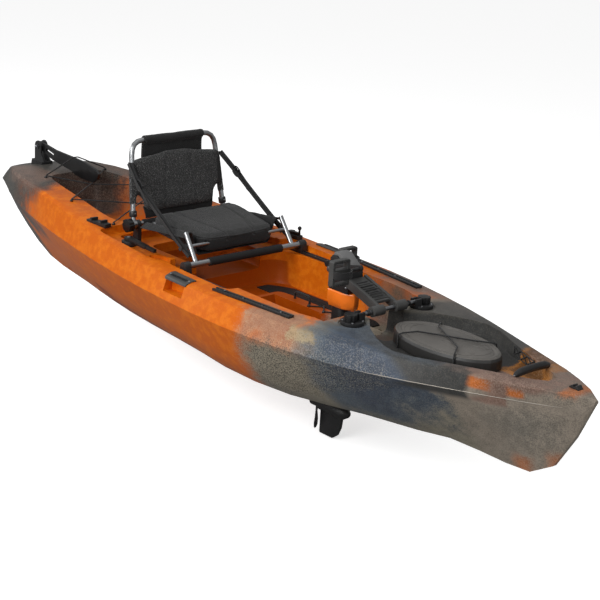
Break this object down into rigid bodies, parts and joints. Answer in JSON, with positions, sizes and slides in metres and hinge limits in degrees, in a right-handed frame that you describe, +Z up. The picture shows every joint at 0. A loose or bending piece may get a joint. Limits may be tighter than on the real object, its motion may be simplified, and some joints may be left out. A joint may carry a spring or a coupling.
{
  "type": "pedal kayak",
  "caption": "Sit-on-top pedal kayak with a sliding frame seat, a swing-up pedal drive, a flip-up rudder and a bow hatch.",
  "frame": {"origin": "middle of the flat keel under the hull, midway between bow and stern", "axes": "+X to the bow, +Y to port, +Z up"},
  "size_m": [3.66, 0.9122, 1.012],
  "materials": {
    "hull": "rotomoulded, satin",
    "black_plastic": "moulded, satin",
    "grey_plastic": "moulded, satin",
    "orange_plastic": "glossy",
    "tube": "satin anodised",
    "steel": "brushed",
    "foam": "closed-cell foam",
    "cloth": "woven, matt",
    "cord": "braided"
  },
  "bodies": {
    "hull": {"hull": "hull", "gear_track_port": "black_plastic", "gear_track_starboard": "black_plastic", "seat_track_port": "black_plastic", "seat_track_starboard": "black_plastic", "side_handle_port": "grey_plastic", "side_handle_starboard": "grey_plastic", "receiver_base_port": "black_plastic", "receiver_base_starboard": "black_plastic", "floor_pad_port": "foam", "floor_pad_starboard": "foam", "grab_loop": "cord", "console_bungee_port": "cord", "console_bungee_starboard": "cord", "tank_bungee": "cord", "paddle_clip": "black_plastic", "bow_handle": "black_plastic", "bow_fitting": "black_plastic", "bow_net": "cord", "hatch_bungee": "cord", "rudder_bracket": "black_plastic", "steering_base": "black_plastic", "lever_base": "black_plastic"},
    "seat_base": {"seat_frame": "tube", "front_foam": "foam", "rear_foam": "foam", "seat_foot_front_port": "black_plastic", "seat_foot_front_starboard": "black_plastic", "seat_foot_rear_port": "black_plastic", "seat_foot_rear_starboard": "black_plastic", "hinge_knob_port": "black_plastic", "hinge_knob_starboard": "black_plastic", "seat_cushion": "cloth", "strap_port": "cord", "strap_starboard": "cord"},
    "backrest": {"back_frame": "tube", "back_panel": "cloth", "header_sleeve": "cloth"},
    "drive": {"drive_leg": "black_plastic", "drive_collar": "orange_plastic", "drive_head": "black_plastic", "head_cover": "grey_plastic", "drive_yoke": "grey_plastic", "crossbar": "steel"},
    "crank": {"crank_axle": "steel", "crank_arm_port": "black_plastic", "crank_arm_starboard": "black_plastic"},
    "port_pedal": {"pedal_port": "grey_plastic", "pedal_strap_port": "cord"},
    "starboard_pedal": {"pedal_starboard": "grey_plastic", "pedal_strap_starboard": "cord"},
    "propeller": {"propeller": "grey_plastic"},
    "rudder_swivel": {"rudder_head": "black_plastic", "rudder_pin": "steel"},
    "rudder_blade": {"rudder_blade": "black_plastic"},
    "steering_handle": {"steering_handle": "black_plastic"},
    "lift_lever": {"lift_lever": "black_plastic"},
    "receiver_knob_port": {"receiver_knob_port": "black_plastic"},
    "receiver_knob_starboard": {"receiver_knob_starboard": "black_plastic"},
    "hatch_lid": {"hatch_lid": "grey_plastic"}
  },
  "joints": [
    {"name": "seat_slide", "type": "slide", "parent": "hull", "child": "seat_base", "axis": [1, 0, 0], "range_m": [-0.02, 0.1]},
    {"name": "backrest_fold", "type": "hinge", "parent": "seat_base", "child": "backrest", "pos_m": [-0.41, 0, 0.436], "axis": [0, 1, 0], "range_deg": [0, 50], "deforming": ["strap_port", "strap_starboard"]},
    {"name": "drive_swing", "type": "hinge", "parent": "hull", "child": "drive", "pos_m": [0.861, 0, 0.39], "axis": [0, 1, 0], "range_deg": [0, 90]},
    {"name": "crank_spin", "type": "hinge", "parent": "drive", "child": "crank", "pos_m": [0.61, 0, 0.487], "axis": [0, 1, 0], "continuous": true},
    {"name": "port_pedal_spin", "type": "hinge", "parent": "crank", "child": "port_pedal", "pos_m": [0.45545, 0.17, 0.44559], "axis": [0, 1, 0], "continuous": true},
    {"name": "starboard_pedal_spin", "type": "hinge", "parent": "crank", "child": "starboard_pedal", "pos_m": [0.76455, -0.17, 0.52841], "axis": [0, 1, 0], "continuous": true},
    {"name": "propeller_spin", "type": "hinge", "parent": "drive", "child": "propeller", "pos_m": [0.514, 0, -0.095], "axis": [1, 0, 0], "continuous": true},
    {"name": "steering_turn", "type": "hinge", "parent": "hull", "child": "steering_handle", "pos_m": [-0.078, 0.352, 0.396], "axis": [0, 0, 1], "range_deg": [-25, 25]},
    {"name": "rudder_steer", "type": "hinge", "parent": "hull", "child": "rudder_swivel", "pos_m": [-1.485, 0, 0.454], "axis": [0, 0, 1], "range_deg": [-15, 15], "deforming": ["tank_bungee"]},
    {"name": "lever_turn", "type": "hinge", "parent": "hull", "child": "lift_lever", "pos_m": [-0.33, -0.319, 0.4], "axis": [0, 0, -1], "range_deg": [0, 120]},
    {"name": "rudder_flip", "type": "hinge", "parent": "rudder_swivel", "child": "rudder_blade", "pos_m": [-1.492, 0, 0.53], "axis": [0, -1, 0], "range_deg": [0, 190], "deforming": ["tank_bungee"]},
    {"name": "port_knob_turn", "type": "hinge", "parent": "hull", "child": "receiver_knob_port", "pos_m": [0.861, 0.191, 0.376], "axis": [0, 0, 1], "range_deg": [0, 90]},
    {"name": "starboard_knob_turn", "type": "hinge", "parent": "hull", "child": "receiver_knob_starboard", "pos_m": [0.861, -0.191, 0.376], "axis": [0, 0, 1], "range_deg": [0, 90]},
    {"name": "lid_lift", "type": "slide", "parent": "hull", "child": "hatch_lid", "axis": [0, 0, 1], "range_m": [0, 0.1], "deforming": ["hatch_bungee"]}
  ],
  "couplings": [
    {"joint": "propeller_spin", "follows": "crank_spin", "ratio": 10.3},
    {"joint": "rudder_steer", "follows": "steering_turn", "ratio": 0.6},
    {"joint": "rudder_flip", "follows": "lever_turn", "ratio": 1.5833}
  ]
}
